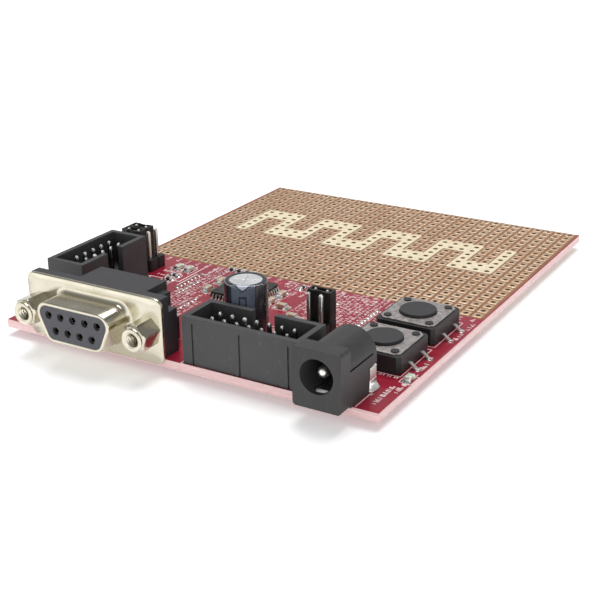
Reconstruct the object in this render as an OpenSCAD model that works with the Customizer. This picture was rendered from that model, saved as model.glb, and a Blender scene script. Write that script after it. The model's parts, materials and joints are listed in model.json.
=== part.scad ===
// Microcontroller dev board: a printed board with a prototyping field behind a row of connectors.
// Millimetres, +Z up, +X to the right along the connector edge, +Y towards the prototyping field.
// The origin is at the middle of the bounding box's underside, where the lead tips stand.

/* [Board] */
// Width of the printed board
board_w = 80; // [80:1:84]
// Depth of the printed board, from the connector edge to the back edge
board_d = 100; // [100:1:104]
// Thickness of the printed board
board_t = 1.6; // [1.2:0.1:2]
// Length of the lead tips below the board
tail = 1.5; // [1:0.1:2.5]

/* [Prototyping field] */
// Number of pad columns
field_cols = 31; // [2:1:31]
// Number of pad rows
field_rows = 22; // [2:1:22]
// Distance from the back edge to the last pad row
field_margin = 1.27; // [1:0.01:2]
// Diameter of each plated hole
field_hole_d = 1; // [0.8:0.05:1.2]

/* [Serial socket] */
// Centre of the socket along the board edge
serial_x = 22.5; // [22:0.1:23]
// Height of the socket's centre above the board
serial_z = 5.25; // [5.1:0.05:5.4]
// Width of the metal flange
flange_w = 30.8; // [30:0.1:31]
// Height of the metal flange
flange_h = 12.5; // [12:0.1:12.6]
// How far the D-shaped shell stands out of the flange
shell_reach = 5.8; // [5.6:0.1:6.2]
// Spacing of the two jackscrews
jackscrew_gap = 25; // [24.9:0.05:25]

/* [Box headers] */
// Outer width of a box header
box_w = 8.9; // [8.8:0.1:9]
// Height of a box header above the board
box_h = 9; // [8.8:0.1:9.4]
// Centre of the long box header along the connector edge
long_box_x = 53.2; // [53:0.05:53.6]
// Centre of the long box header behind the connector edge
long_box_y = 4.9; // [4.5:0.1:5.2]
// Centre of the short box header along the connector edge
short_box_x = 5.35; // [4.7:0.05:5.5]
// Centre of the short box header behind the connector edge
short_box_y = 21.45; // [20:0.05:22]

/* [Power socket] */
// Centre of the power socket along the board edge
jack_x = 70.7; // [70.6:0.05:70.8]
// Width of the power socket
jack_w = 9; // [8.9:0.05:9]
// Height of the power socket's collar
jack_h = 10.6; // [10.4:0.1:11]
// Radius of the plug opening
jack_bore_r = 3.1; // [3:0.05:3.2]

/* [Switches] */
// Side length of a push switch
switch_w = 12; // [11.8:0.1:12]
// Travel of a switch's plunger
switch_travel = 0.3; // [0.2:0.05:0.3]
// Centre of both push switches along the connector edge
switch_x = 70.7; // [70.2:0.1:71]
// Centre of the front switch behind the connector edge
switch_y = 20.2; // [19.5:0.1:20.5]
// Distance between the two switches
switch_gap = 13.9; // [12.5:0.1:14.5]

/* [Jumper headers] */
// Centre of the mode header along the connector edge
mode_x = 5; // [4.5:0.1:6]
// Centre of the mode header behind the connector edge
mode_y = 36.47; // [35:0.01:38]
// Centre of the boot header along the connector edge
boot_x = 55.77; // [54:0.01:57]
// Centre of the boot header behind the connector edge
boot_y = 22.93; // [22.5:0.01:23.5]
// Height of a shunt
shunt_h = 6; // [5.5:0.1:6.5]

/* [Capacitor] */
// Centre of the smoothing capacitor along the connector edge
cap_x = 45.8; // [45.5:0.1:46]
// Centre of the smoothing capacitor behind the connector edge
cap_y = 14.2; // [13.8:0.1:14.6]
// Outer radius of the capacitor
cap_r = 4; // [3.8:0.1:4.1]
// Height of the capacitor's top above the board
cap_top = 12; // [11:0.5:13]

/* [Chips] */
// Side length of the microcontroller's package
mcu_w = 10; // [9.9:0.1:10]
// Pins along one side of the microcontroller
mcu_side_pins = 11; // [7:1:11]

/* [Hidden] */

$fn = 48;
eps = 0.01;
pitch = 2.54;
clear = 0.01;            // gap round a pin that is moulded into its part
through = 4;             // longer than any wall that a cutter passes

// The frame: board places count from the board's front left corner and its top face.
flange_t = 0.8;
front_reach = flange_t + shell_reach;
middle_y = (board_d - front_reach) / 2;
top_z = tail + board_t;
tip_z = -top_z;

// Square header pins.
pin_w = 0.64;
pin_hole_r = 0.5;
header_base_h = 2.5;
header_pin_top = header_base_h + shunt_h;
box_pin_top = 8.4;

// Serial socket: contact rows, tails and rear moulding.
row_gap = 2.84;
contact_pitch = 2.77;
contact_hole_r = 0.75;
contact_leg_r = 0.4;
upper_tail_y = 9.4;
lower_tail_y = upper_tail_y - row_gap;
strap_y = 8.4;
strap_dx = 11.3;

// Power socket: bore height, and the places of its three lugs along Y.
jack_front = -3.8;
jack_collar = 3.3;
jack_back = 8.6;
jack_bore_z = 5.9;
jack_bore_back = 6;
shank_r = 0.6;
spring_tail_y = 4.4;
rear_lug_y = jack_back + 0.3;
side_lug_y = 7.6;
side_lug_x = jack_w / 2 - 0.35;

cap_lead_gap = 3.5;

// Centres of the parts on the board.
long_box_at = [long_box_x, long_box_y];
short_box_at = [short_box_x, short_box_y];
front_switch_at = [switch_x, switch_y];
back_switch_at = [switch_x, switch_y + switch_gap];
mode_at = [mode_x, mode_y];
boot_at = [boot_x, boot_y];
cap_at = [cap_x, cap_y];
mcu_at = [32.7, 33.3];
driver_at = [37.6, 21.6];
regulator_at = [60.3, 15.2];
diode_at = [53.2, 13.2];
crystal_at = [35.4, 15.6];

// ---------------------------------------------------------------- helpers

// Moves its children from board places into the object's own frame.
module on_board(at = [0, 0], z = 0)
    translate([at[0] - board_w / 2, at[1] - middle_y, z + top_z]) children();

// A box centred on X and Y, standing on z = 0.
module block(size, z = 0) translate([-size[0] / 2, -size[1] / 2, z]) cube(size);

// A cylinder along +Y, starting at y.
module rod_y(r, y, h) translate([0, y, 0]) rotate([-90, 0, 0]) cylinder(r = r, h = h);

// A flat shape drawn in X and Z, and extruded along +Y from y.
module slab_y(y, h) translate([0, y + h, 0]) rotate([90, 0, 0]) linear_extrude(h) children();

// A square with its four corners cut at 45 degrees.
module clipped_square(w, clip) {
    h = w / 2;
    polygon([
        [clip - h, -h], [h - clip, -h], [h, clip - h], [h, h - clip],
        [h - clip, h], [clip - h, h], [-h, h - clip], [-h, clip - h]
    ]);
}

// A rectangle with round corners, made only of squares and circles.
module round_rect(w, h, r) {
    square([w - 2 * r, h], center = true);
    square([w, h - 2 * r], center = true);
    for (x = [-1, 1], y = [-1, 1])
        translate([x * (w / 2 - r), y * (h / 2 - r)]) circle(r = r);
}

// Places of a header's pins about its centre.
function grid(nx, ny) = [
    for (i = [0:nx - 1], j = [0:ny - 1]) [(i - (nx - 1) / 2) * pitch, (j - (ny - 1) / 2) * pitch]
];

module square_pins(nx, ny, top)
    for (p = grid(nx, ny))
        translate([p[0], p[1], tip_z]) block([pin_w, pin_w, top - tip_z]);

module square_pin_holes(nx, ny, h)
    for (p = grid(nx, ny))
        translate([p[0], p[1], -1]) block([pin_w + 2 * clear, pin_w + 2 * clear, h + 2]);

// ---------------------------------------------------------------- lead places, shared with the board's holes

// Contact places in the serial socket's face: five above, four below.
function contact_faces() = concat(
    [for (i = [0:4]) [(i - 2) * contact_pitch, row_gap / 2]],
    [for (i = [0:3]) [(i - 1.5) * contact_pitch, -row_gap / 2]]
);

function shift(points, at) = [for (p = points) [p[0] + at[0], p[1] + at[1]]];

function serial_tails() = [
    for (f = contact_faces()) [serial_x + f[0], f[1] > 0 ? upper_tail_y : lower_tail_y]
];

square_pin_places = concat(
    shift(grid(7, 2), long_box_at), shift(grid(2, 5), short_box_at),
    shift(grid(3, 2), mode_at), shift(grid(2, 2), boot_at)
);
strap_places = [for (s = [-1, 1]) [serial_x + s * strap_dx, strap_y]];
cap_lead_places = [for (s = [-1, 1]) [cap_at[0] + s * cap_lead_gap / 2, cap_at[1]]];

// Every soldered hole: [place, hole radius, radius of the lead].
lead_holes = concat(
    [for (p = square_pin_places) [p, pin_hole_r, 0.46]],
    [for (p = serial_tails()) [p, 0.5, contact_leg_r]],
    [for (p = strap_places) [p, 0.7, 0.65]],
    [for (p = cap_lead_places) [p, 0.4, 0.3]],
    [[[jack_x, spring_tail_y], 0.95, 0.9], [[jack_x, rear_lug_y], 0.95, 0.9],
     [[jack_x + side_lug_x, side_lug_y], 0.75, 0.7]]
);

// ---------------------------------------------------------------- board

module pcb() {
    first_x = board_w / 2 - (field_cols - 1) / 2 * pitch;
    last_y = board_d - field_margin;
    color("firebrick") on_board(z = -board_t) linear_extrude(board_t) difference() {
        square([board_w, board_d]);
        for (i = [0:field_cols - 1], j = [0:field_rows - 1])
            translate([first_x + i * pitch, last_y - j * pitch]) circle(d = field_hole_d, $fn = 24);
        for (h = lead_holes) translate(h[0]) circle(r = h[1], $fn = 24);
    }
}

// One fillet of solder round each lead, under the board.
module solder_joints() {
    fillet_h = 1;
    color("lightgray") for (h = lead_holes)
        on_board(h[0], -board_t) rotate_extrude($fn = 24) polygon([
            [h[2] + 0.02, 0], [h[1] + 0.45, 0], [h[1] + 0.2, -0.35 * fillet_h],
            [h[2] + 0.1, -fillet_h], [h[2] + 0.02, -fillet_h]
        ]);
}

// ---------------------------------------------------------------- serial socket

// Outline of the D-shaped shell, grown or shrunk by d.
module d_outline(d = 0) {
    top_w = 8.2;
    bottom_w = 6.9;
    half_h = 3.8;
    corner = 2.3;
    hull() for (s = [-1, 1]) {
        translate([s * (top_w - corner), half_h - corner]) circle(r = corner + d, $fn = 32);
        translate([s * (bottom_w - corner), corner - half_h]) circle(r = corner + d, $fn = 32);
    }
}

module serial_shell() {
    wall = 0.4;
    color([0.78, 0.76, 0.66]) on_board([serial_x, 0], serial_z) {
        slab_y(-flange_t, flange_t) difference() {
            round_rect(flange_w, flange_h, 1.6);
            d_outline(-wall);
            for (s = [-1, 1]) translate([s * jackscrew_gap / 2, 0]) circle(r = 1.5);
        }
        slab_y(-front_reach, shell_reach) difference() {
            d_outline();
            d_outline(-wall);
        }
    }
}

module serial_insulator() {
    recess = 0.15;
    color([0.33, 0.33, 0.36]) on_board([serial_x, 0], serial_z) difference() {
        slab_y(recess - front_reach, front_reach - recess) d_outline(-0.42);
        for (f = contact_faces())
            translate([f[0], 0, f[1]]) rod_y(contact_hole_r, -front_reach - 1, front_reach + 2);
    }
}

// Rear moulding: a plate behind the flange, two ears and a hollow block over the tails.
module serial_housing() {
    plate_w = flange_w - 1;
    plate_t = 2.1;
    plate_h = serial_z + flange_h / 2 - 0.2;
    ear_w = 6.6;
    ear_t = 4.5;
    ear_h = 8.3;
    shoulder = [18.8, 10, 8.4];
    tower = [15.4, 11.3, 9.75];
    wall = 0.9;
    color([0.2, 0.2, 0.22]) on_board([serial_x, 0]) difference() {
        union() {
            translate([-plate_w / 2, 0, 0]) cube([plate_w, plate_t, plate_h]);
            for (s = [-1, 1])
                translate([s * (plate_w - ear_w) / 2 - ear_w / 2, 0, 0]) cube([ear_w, ear_t, ear_h]);
            translate([-shoulder[0] / 2, 0, 0]) cube(shoulder);
            translate([-tower[0] / 2, 0, 0]) cube(tower);
        }
        translate([-tower[0] / 2 + wall, 3, -1])
            cube([tower[0] - 2 * wall, tower[1] - 3 - wall, tower[2] + 1 - wall]);
        for (f = contact_faces())
            translate([f[0], 0, serial_z + f[1]]) rod_y(contact_hole_r, -1, 5);
        for (s = [-1, 1]) translate([s * jackscrew_gap / 2, 0, serial_z]) rod_y(1.45, -1, ear_t + 2);
    }
}

// Nine sockets with tails bent down through the board.
module serial_contacts() {
    tube_r = 0.73;
    socket_r = 0.51;
    mouth = 0.6;
    socket_depth = 5;
    color("gold") for (f = contact_faces()) {
        tail_y = f[1] > 0 ? upper_tail_y : lower_tail_y;
        face_z = serial_z + f[1];
        on_board([serial_x + f[0], 0]) {
            translate([0, 0, face_z]) difference() {
                rod_y(tube_r, mouth - front_reach, front_reach - mouth + 1);
                rod_y(socket_r, mouth - front_reach - 1, socket_depth + 1);
            }
            translate([0, 0, face_z]) rod_y(contact_leg_r, 0.5, tail_y - 0.5);
            translate([0, tail_y, face_z]) sphere(r = contact_leg_r);
            translate([0, tail_y, tip_z]) cylinder(r = contact_leg_r, h = face_z - tip_z);
        }
    }
}

// Hexagonal jackscrews, each with a threaded hole in its end and a stud through the flange.
module serial_jackscrews() {
    hex_flats = 4.75;
    hex_l = 5;
    turn = 15;
    color([0.8, 0.78, 0.68]) for (s = [-1, 1])
        on_board([serial_x + s * jackscrew_gap / 2, 0], serial_z) difference() {
            union() {
                translate([0, -flange_t, 0]) rotate([90, turn, 0])
                    cylinder(d = hex_flats / cos(30), h = hex_l, $fn = 6);
                rod_y(1.4, -flange_t - eps, 5);
            }
            rod_y(1.15, -flange_t - hex_l - 1, 5.5);
        }
}

// Bent straps that ground the shell to the board, one behind each ear.
module serial_ground_straps() {
    strap_w = 2.2;
    strap_t = 0.4;
    strap_top = 5;
    color("silver") for (p = strap_places) on_board(p) {
        translate([-strap_w / 2, 4.5 - strap_y, strap_top - strap_t]) cube([strap_w, strap_y - 4.5, strap_t]);
        translate([-strap_w / 2, -strap_t / 2, 0.2]) cube([strap_w, strap_t, strap_top - 0.2]);
        translate([-0.6, -strap_t / 2, tip_z]) cube([1.2, strap_t, 0.3 - tip_z]);
    }
}

// ---------------------------------------------------------------- box headers

// An open box round a double row of pins, with a key slot in its +Y wall.
module box_shroud(cols, past_pins) {
    length = (cols - 1) * pitch + 2 * past_pins;
    wall = 1.15;
    floor_t = 2.4;
    key_w = 4.5;
    groove = 0.3;
    difference() {
        block([length, box_w, box_h]);
        block([length - 2 * wall, box_w - 2 * wall, box_h], floor_t);
        translate([-key_w / 2, 0, floor_t]) cube([key_w, box_w, box_h]);
        for (s = [-1, 0, 1])
            translate([s * (length / 2 - 2.2) - groove / 2, -box_w / 2 - 1, -1])
                cube([groove, 1 + groove, box_h - 0.2]);
        square_pin_holes(cols, 2, floor_t);
    }
}

module long_header_shroud() color([0.22, 0.22, 0.23]) on_board(long_box_at) box_shroud(7, 4.3);
module long_header_pins() color("silver") on_board(long_box_at) square_pins(7, 2, box_pin_top);
module short_header_shroud() color([0.22, 0.22, 0.23]) on_board(short_box_at) rotate(-90) box_shroud(5, 4.98);
module short_header_pins() color("silver") on_board(short_box_at) square_pins(2, 5, box_pin_top);

// ---------------------------------------------------------------- power socket

// Slot that the spring contact lies in, under the bore.
spring_w = 2.4;
spring_slot = [spring_w + 0.2, 11.4, 1.4];
spring_z = 2.35;

module power_housing() {
    groove = 0.35;
    lug_room = [2.2, 3, 4.6];
    color([0.24, 0.24, 0.25]) on_board([jack_x, 0]) difference() {
        union() {
            translate([0, 0, jack_h / 2]) slab_y(jack_front, jack_collar) round_rect(jack_w, jack_h, 0.7);
            slab_y(jack_front + jack_collar, jack_back - jack_front - jack_collar) {
                translate([0, jack_bore_z]) circle(r = jack_w / 2, $fn = 96);
                translate([-jack_w / 2, 0]) square([jack_w, jack_bore_z]);
            }
        }
        translate([0, 0, jack_bore_z]) rod_y(jack_bore_r, jack_front - 1, jack_bore_back - jack_front + 1);
        translate([0, 0, jack_bore_z]) rod_y(shank_r + 2 * clear, 0, jack_back + 1);
        translate([-spring_slot[0] / 2, jack_front + 1, spring_z - 0.6]) cube(spring_slot);
        translate([-0.95, spring_tail_y - 0.3, -1]) cube([1.9, 0.6, 4]);
        for (s = [-1, 1])
            translate([s * jack_w / 2 - groove, -0.7, jack_bore_z + 0.5]) cube([2 * groove, 8, groove]);
        translate([jack_w / 2 - lug_room[0] + 1, 6, -1]) cube(lug_room + [0, 0, 1]);
    }
}

// Centre pin, with a thinner shank through the rear wall that is riveted to the rear lug.
module power_centre_pin() {
    pin_r = 1;
    pin_tip = -2.3;
    lug_t = 0.5;
    rivet_end = rear_lug_y + 0.7;
    color("silver") on_board([jack_x, 0]) {
        translate([0, 0, jack_bore_z]) {
            translate([0, pin_tip + pin_r, 0]) sphere(r = pin_r);
            rod_y(pin_r, pin_tip + pin_r, jack_bore_back - pin_tip - pin_r);
            rod_y(shank_r, jack_bore_back - 1, rivet_end - jack_bore_back + 1);
        }
        translate([0, rear_lug_y, 0]) {
            block([3.6, lug_t, jack_bore_z + 1.6 - 0.3], 0.3);
            block([1.7, lug_t, 0.6 - tip_z], tip_z);
        }
    }
}

// Leaf that presses on the plug's sleeve, with a tail through the board.
module power_spring_contact() {
    leaf_t = 0.3;
    front = -2.6;
    back = 5.6;
    color("silver") on_board([jack_x, 0]) {
        translate([-spring_w / 2, front, spring_z]) cube([spring_w, back - front, leaf_t]);
        translate([-spring_w / 2, front + 0.6, spring_z + leaf_t]) cube([spring_w, 1.2, leaf_t]);
        translate([0, spring_tail_y, tip_z]) block([1.7, 0.4, spring_z - tip_z + eps]);
    }
}

module power_side_lug() {
    lug_t = 0.5;
    color("silver") on_board([jack_x + side_lug_x, side_lug_y]) {
        block([lug_t, 2.3, 3.9], 0.3);
        block([lug_t, 1.2, 0.6 - tip_z], tip_z);
    }
}

// ---------------------------------------------------------------- push switches

switch_body_top = 3.2;
cover_t = 0.3;
peg_gap = 8.4;
peg_r = 0.75;
plunger_r = 3.45;
plunger_top = 4.1;
plunger_floor = 1.5;
collar_r = 4;
well_r = collar_r + 0.2;
dome_floor = 0.8;

module switch_base(at) color([0.2, 0.2, 0.2]) on_board(at) {
    difference() {
        translate([0, 0, 0.1]) linear_extrude(switch_body_top - 0.1) clipped_square(switch_w, 0.7);
        translate([0, 0, dome_floor]) cylinder(r = well_r, h = through);
        for (x = [-1, 1], y = [-1, 1])
            translate([x * (switch_w / 2), y * 2.5, 1]) block([1.2, 0.82, 0.36], -0.03);
    }
    for (x = [-1, 1], y = [-1, 1])
        translate([x * peg_gap / 2, y * peg_gap / 2, 1])
            cylinder(r = peg_r, h = switch_body_top + cover_t - 0.8);
}

module switch_cover(at) color([0.72, 0.73, 0.74]) on_board(at, switch_body_top)
    linear_extrude(cover_t) difference() {
        clipped_square(switch_w - 1, 1);
        circle(r = plunger_r + 0.1);
        for (x = [-1, 1], y = [-1, 1])
            translate([x * peg_gap / 2, y * peg_gap / 2]) circle(r = peg_r + clear);
    }

module switch_plunger(at) color([0.3, 0.3, 0.31]) on_board(at) {
    translate([0, 0, plunger_floor + 0.4]) cylinder(r = plunger_r, h = plunger_top - plunger_floor - 0.4);
    translate([0, 0, plunger_floor + 0.4]) cylinder(r = collar_r, h = 0.9);
    translate([0, 0, plunger_floor]) cylinder(r = 1, h = 0.5);
}

// Snap dome: a shallow disc that clicks under the plunger.
module switch_dome(at) color("silver") on_board(at, dome_floor) rotate_extrude()
    polygon([[0, 0.3], [1.6, 0.24], [2.8, 0], [2.8, 0.08], [1.6, 0.33], [0, 0.39]]);

// Four leads, bent out and down on to their pads.
module switch_leads(at) color("silver") on_board(at) for (side = [0, 180], y = [-1, 1])
    rotate(side) translate([switch_w / 2, y * 2.5 - 0.35, 0]) slab_y(0, 0.7) polygon([
        [-0.58, 1], [0.35, 1], [1.5, 0.05], [2.3, 0.05], [2.3, 0.35], [1.62, 0.35], [0.47, 1.3], [-0.58, 1.3]
    ]);

module switch_1_base() switch_base(front_switch_at);
module switch_1_cover() switch_cover(front_switch_at);
module switch_1_plunger() switch_plunger(front_switch_at);
module switch_1_dome() switch_dome(front_switch_at);
module switch_1_leads() switch_leads(front_switch_at);
module switch_2_base() switch_base(back_switch_at);
module switch_2_cover() switch_cover(back_switch_at);
module switch_2_plunger() switch_plunger(back_switch_at);
module switch_2_dome() switch_dome(back_switch_at);
module switch_2_leads() switch_leads(back_switch_at);

// ---------------------------------------------------------------- capacitor

sleeve_t = 0.12;
can_r = cap_r - sleeve_t;
bung_r = can_r - 0.35;
bung_h = 1.5;
cap_foot = 0.3;

module capacitor_can() {
    vent_w = 0.25;
    vent_l = 4.6;
    color("lightgray") on_board(cap_at) difference() {
        translate([0, 0, cap_foot]) cylinder(r = can_r, h = cap_top - sleeve_t - cap_foot);
        translate([0, 0, cap_foot - 1]) cylinder(r = bung_r, h = bung_h + 1);
        for (turn = [20, 110])
            translate([0, 0, cap_top - 0.35]) rotate(turn) block([vent_l, vent_w, 1]);
    }
}

// Printed sleeve, shrunk over the can and its rim.
module capacitor_sleeve() color([0.13, 0.14, 0.16]) on_board(cap_at) difference() {
    translate([0, 0, cap_foot]) cylinder(r = cap_r, h = cap_top - cap_foot);
    translate([0, 0, cap_foot - 1]) cylinder(r = can_r, h = cap_top - sleeve_t - cap_foot + 1);
    cylinder(r = 3, h = cap_top + 1);
}

module capacitor_bung() color([0.12, 0.12, 0.12]) on_board(cap_at) difference() {
    translate([0, 0, cap_foot - 0.2]) cylinder(r = bung_r, h = bung_h + 0.2);
    for (s = [-1, 1]) translate([s * cap_lead_gap / 2, 0, -1]) cylinder(r = 0.3, h = 4);
}

module capacitor_leads() color("silver") for (p = cap_lead_places)
    on_board(p, tip_z) cylinder(r = 0.3, h = cap_foot + bung_h - tip_z);

// ---------------------------------------------------------------- jumper headers

module header_base(nx, ny) difference() {
    for (p = grid(nx, ny))
        translate([p[0], p[1], 0]) linear_extrude(header_base_h) clipped_square(pitch, 0.35);
    square_pin_holes(nx, ny, header_base_h);
}

// Inner slot of a shunt, and the clip that lines it.
shunt_slot = [3.94, 1.28];

module shunt() translate([0, 0, header_base_h]) difference() {
    linear_extrude(shunt_h) round_rect(4.9, 2.4, 0.25);
    block([shunt_slot[0], shunt_slot[1], shunt_h + 2], -1);
    for (s = [-1, 1]) translate([0, s * 1.2, shunt_h - 1.2]) block([1.6, 0.5, 2]);
}

module shunt_clip() translate([0, 0, header_base_h + 0.4]) {
    leaf = 0.24;
    clip_l = shunt_slot[0] - 0.02;
    clip_h = 4;
    for (s = [-1, 1]) translate([0, s * (pin_w / 2 + 0.06 + leaf / 2), 0]) block([clip_l, leaf, clip_h]);
    block([0.8, pin_w + 0.2, clip_h]);
}

module mode_header_base() color([0.15, 0.15, 0.15]) on_board(mode_at) header_base(3, 2);
module mode_header_pins() color("silver") on_board(mode_at) square_pins(3, 2, header_pin_top);
module mode_shunt_1() color([0.1, 0.1, 0.1]) on_board(mode_at - [pitch, pitch] / 2) shunt();
module mode_clip_1() color("gold") on_board(mode_at - [pitch, pitch] / 2) shunt_clip();
module mode_shunt_2() color([0.1, 0.1, 0.1]) on_board(mode_at + [-pitch, pitch] / 2) shunt();
module mode_clip_2() color("gold") on_board(mode_at + [-pitch, pitch] / 2) shunt_clip();
module boot_header_base() color([0.15, 0.15, 0.15]) on_board(boot_at) header_base(2, 2);
module boot_header_pins() color("silver") on_board(boot_at) square_pins(2, 2, header_pin_top);
module boot_shunt() color([0.1, 0.1, 0.1]) on_board(boot_at + [0, pitch / 2]) shunt();
module boot_clip() color("gold") on_board(boot_at + [0, pitch / 2]) shunt_clip();

// ---------------------------------------------------------------- chips

// A row of gull-wing leads along Y, starting at the package's side and ending flat on the board.
module gull_row(count, step, w, side_x, reach, root_z, t)
    for (i = [0:count - 1])
        translate([side_x, (i - (count - 1) / 2) * step - w / 2, 0]) slab_y(0, w) polygon([
            [0, root_z], [reach * 0.25, root_z], [reach * 0.45, 0.02], [reach, 0.02],
            [reach, 0.02 + t], [reach * 0.45 + t, 0.02 + t], [reach * 0.25 + t, root_z + t], [0, root_z + t]
        ]);

module mcu_body() color([0.16, 0.16, 0.17]) on_board(mcu_at) difference() {
    translate([0, 0, 0.1]) linear_extrude(1.2) clipped_square(mcu_w, 0.4);
    translate([1.1 - mcu_w / 2, 1.1 - mcu_w / 2, 1.2]) cylinder(r = 0.45, h = 1);
}

module mcu_leads() color("silver") on_board(mcu_at)
    for (turn = [0:90:270]) rotate(turn) gull_row(mcu_side_pins, 0.8, 0.37, mcu_w / 2, 1.1, 0.75, 0.15);

module driver_body() color([0.16, 0.16, 0.17]) on_board(driver_at) difference() {
    block([9.9, 3.9, 1.5], 0.15);
    translate([-4.3, -1.3, 1.5]) cylinder(r = 0.4, h = 1);
}

module driver_leads() color("silver") on_board(driver_at)
    for (turn = [90, 270]) rotate(turn) gull_row(8, 1.27, 0.42, 1.95, 1.05, 0.8, 0.2);

module regulator_body() color([0.16, 0.16, 0.17]) on_board(regulator_at) block([6.5, 3.5, 1.6], 0.1);

module regulator_leads() color("silver") on_board(regulator_at) {
    rotate(-90) gull_row(3, 2.3, 0.7, 1.75, 1.75, 0.8, 0.28);
    rotate(90) gull_row(1, 1, 3, 1.75, 1.75, 0.8, 0.28);
}

module diode_body() color([0.14, 0.14, 0.15]) on_board(diode_at) block([4.5, 3.6, 2.2], 0.15);

module diode_leads() color("silver") on_board(diode_at)
    for (turn = [0, 180]) rotate(turn) gull_row(1, 1, 2, 2.25, 0.9, 1, 0.2);

// Surface-mount crystal: a ceramic base under a metal lid.
crystal_base_h = 0.5;

module crystal_base() color("dimgray") on_board(crystal_at, 0.05)
    linear_extrude(crystal_base_h) round_rect(5, 3.2, 0.3);

module crystal_can() color("lightgray") on_board(crystal_at, 0.05 + crystal_base_h)
    linear_extrude(0.55) round_rect(4.6, 2.8, 0.5);

// Small surface parts: [place, turn].
resistor_places = concat(
    [for (i = [0:3]) [[41.5 + 1.9 * i, 41.2], 90]], [for (i = [0:2]) [[62 + 2.2 * i, 41.2], 90]],
    [for (i = [0:3]) [[23.2 + 1.9 * i, 43], 0]], [for (i = [0:2]) [[14.5, 30 + 2.2 * i], 0]]
);
capacitor_places = [
    [[25.2, 31], 90], [[25.2, 36], 90], [[40, 31.4], 90], [[40, 35.6], 90], [[43.2, 30.4], 0],
    [[47.5, 24.6], 0], [[47.5, 27], 0], [[63, 21], 90], [[61.2, 26.4], 90]
];
led_places = [[[78.8, 13.6], 90], [[15.2, 38.6], 90], [[12.6, 38.6], 90]];

// A chip part: a body between two soldered ends.
module chip(l, w, h) translate([0, 0, 0.05]) block([l, w, h]);

module chip_resistors() color([0.15, 0.15, 0.16])
    for (p = resistor_places) on_board(p[0]) rotate(p[1]) chip(1.6, 0.8, 0.5);

module chip_capacitors() color([0.72, 0.6, 0.46])
    for (p = capacitor_places) on_board(p[0]) rotate(p[1]) chip(2, 1.25, 0.9);

module status_leds() color("ivory")
    for (p = led_places) on_board(p[0]) rotate(p[1]) chip(2, 1.25, 0.8);

// ---------------------------------------------------------------- nodes

pcb();
solder_joints();
serial_shell();
serial_insulator();
serial_housing();
serial_contacts();
serial_jackscrews();
serial_ground_straps();
long_header_shroud();
long_header_pins();
short_header_shroud();
short_header_pins();
power_housing();
power_centre_pin();
power_spring_contact();
power_side_lug();
switch_1_base();
switch_1_cover();
switch_1_plunger();
switch_1_dome();
switch_1_leads();
switch_2_base();
switch_2_cover();
switch_2_plunger();
switch_2_dome();
switch_2_leads();
capacitor_can();
capacitor_sleeve();
capacitor_bung();
capacitor_leads();
mode_header_base();
mode_header_pins();
mode_shunt_1();
mode_clip_1();
mode_shunt_2();
mode_clip_2();
boot_header_base();
boot_header_pins();
boot_shunt();
boot_clip();
mcu_body();
mcu_leads();
driver_body();
driver_leads();
regulator_body();
regulator_leads();
diode_body();
diode_leads();
crystal_can();
crystal_base();
chip_resistors();
chip_capacitors();
status_leds();
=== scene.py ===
import json
import math
import random

import bmesh
import bpy
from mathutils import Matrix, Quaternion, Vector

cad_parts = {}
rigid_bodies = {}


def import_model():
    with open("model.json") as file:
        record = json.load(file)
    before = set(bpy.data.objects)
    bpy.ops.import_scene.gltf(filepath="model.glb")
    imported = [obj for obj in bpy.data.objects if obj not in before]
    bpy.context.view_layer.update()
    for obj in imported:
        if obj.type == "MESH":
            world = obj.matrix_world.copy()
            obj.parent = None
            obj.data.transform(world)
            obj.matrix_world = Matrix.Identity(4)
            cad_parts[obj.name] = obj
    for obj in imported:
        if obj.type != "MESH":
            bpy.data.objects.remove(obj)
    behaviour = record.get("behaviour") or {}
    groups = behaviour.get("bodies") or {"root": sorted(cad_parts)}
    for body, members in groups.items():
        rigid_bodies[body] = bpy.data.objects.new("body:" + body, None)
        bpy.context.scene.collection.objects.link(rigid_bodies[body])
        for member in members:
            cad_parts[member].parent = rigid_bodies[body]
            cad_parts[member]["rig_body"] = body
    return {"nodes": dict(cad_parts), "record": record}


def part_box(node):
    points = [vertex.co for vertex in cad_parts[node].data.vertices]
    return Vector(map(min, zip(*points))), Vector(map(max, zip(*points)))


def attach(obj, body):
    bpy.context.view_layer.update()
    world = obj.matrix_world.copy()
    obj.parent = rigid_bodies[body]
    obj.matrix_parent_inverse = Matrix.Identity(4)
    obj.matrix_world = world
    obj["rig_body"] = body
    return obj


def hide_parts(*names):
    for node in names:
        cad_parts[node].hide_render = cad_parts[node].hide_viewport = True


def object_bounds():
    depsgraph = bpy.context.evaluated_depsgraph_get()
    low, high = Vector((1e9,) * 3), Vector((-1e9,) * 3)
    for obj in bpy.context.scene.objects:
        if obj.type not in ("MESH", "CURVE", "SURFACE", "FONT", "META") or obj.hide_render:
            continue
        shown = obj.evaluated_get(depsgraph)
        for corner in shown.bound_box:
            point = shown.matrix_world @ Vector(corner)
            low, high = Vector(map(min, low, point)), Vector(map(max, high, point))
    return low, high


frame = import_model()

# The looks of the microcontroller dev board. Each detailed piece is built in millimetres, as a board
# place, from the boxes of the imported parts. Every surface gets a material made of texture nodes.

MM = 0.001
BOARD = "board"
FULL_TURN = 2 * math.pi
cad_low, cad_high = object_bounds()
board_low, board_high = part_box("pcb")
board_w = (board_high.x - board_low.x) / MM
board_d = (board_high.y - board_low.y) / MM
board_t = (board_high.z - board_low.z) / MM
dice = random.Random(7)

# The prototyping field, as in the board itself.
PITCH = 2.54
FIELD_COLS, FIELD_ROWS = 31, 22
FIELD_FIRST_X = board_w / 2 - (FIELD_COLS - 1) / 2 * PITCH
FIELD_LAST_Y = board_d - PITCH / 2
FIELD_FRONT_Y = FIELD_LAST_Y - (FIELD_ROWS - 0.5) * PITCH
MASK_T = 0.03
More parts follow.
